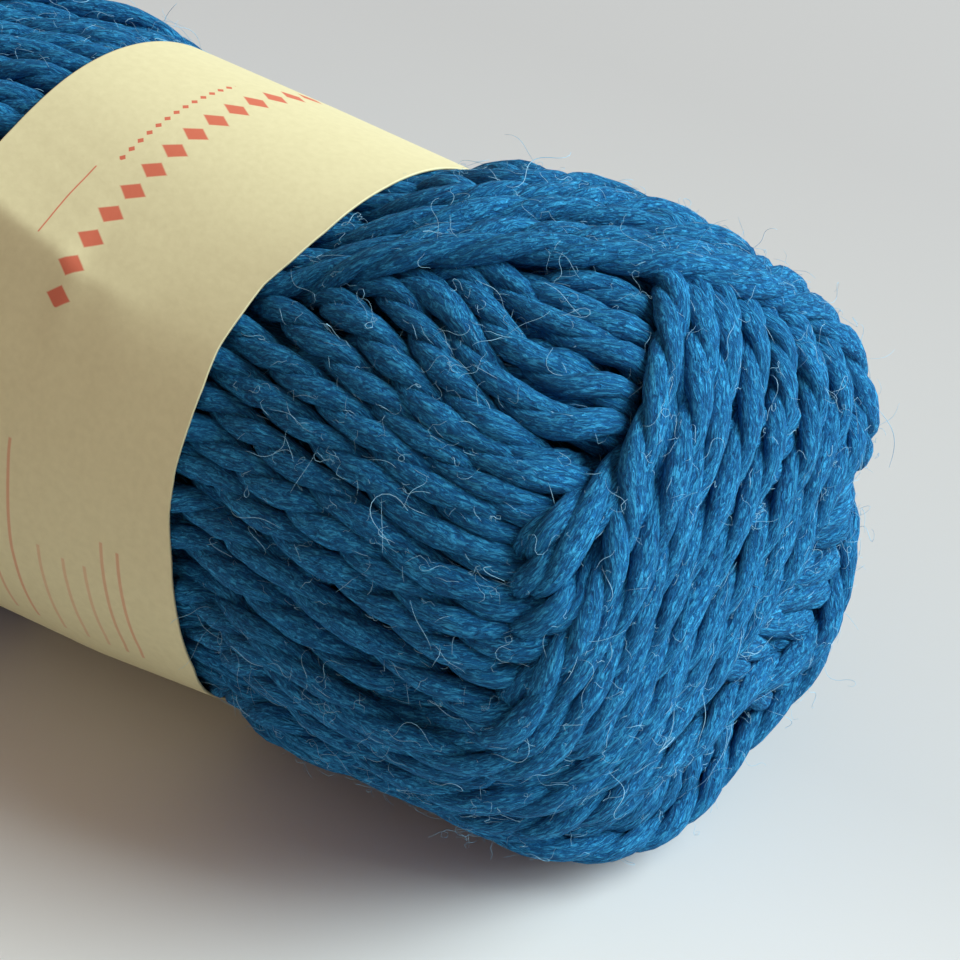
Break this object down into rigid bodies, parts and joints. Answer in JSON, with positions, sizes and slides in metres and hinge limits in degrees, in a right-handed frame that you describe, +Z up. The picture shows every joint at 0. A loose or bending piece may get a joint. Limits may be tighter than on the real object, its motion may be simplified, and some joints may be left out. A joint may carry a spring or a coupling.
{
  "type": "ball of yarn",
  "caption": "Machine-wound pull ball of chunky two-ply blue wool lying on its side, its blunt ends crossed by slanting turns, with a plain cream paper band round its middle.",
  "frame": {"origin": "on the surface that the ball rests on, under the middle of the ball", "axes": "+X along the ball's winding axis to its near end, +Z up from the surface, +Y across the ball"},
  "size_m": [0.169, 0.0884, 0.0847],
  "materials": {
    "yarn": "soft fuzzy wool, bright teal blue",
    "band": "uncoated matt cream paper with thin coral rules"
  },
  "bodies": {
    "root": {"ball": "yarn", "band": "band"}
  },
  "joints": []
}
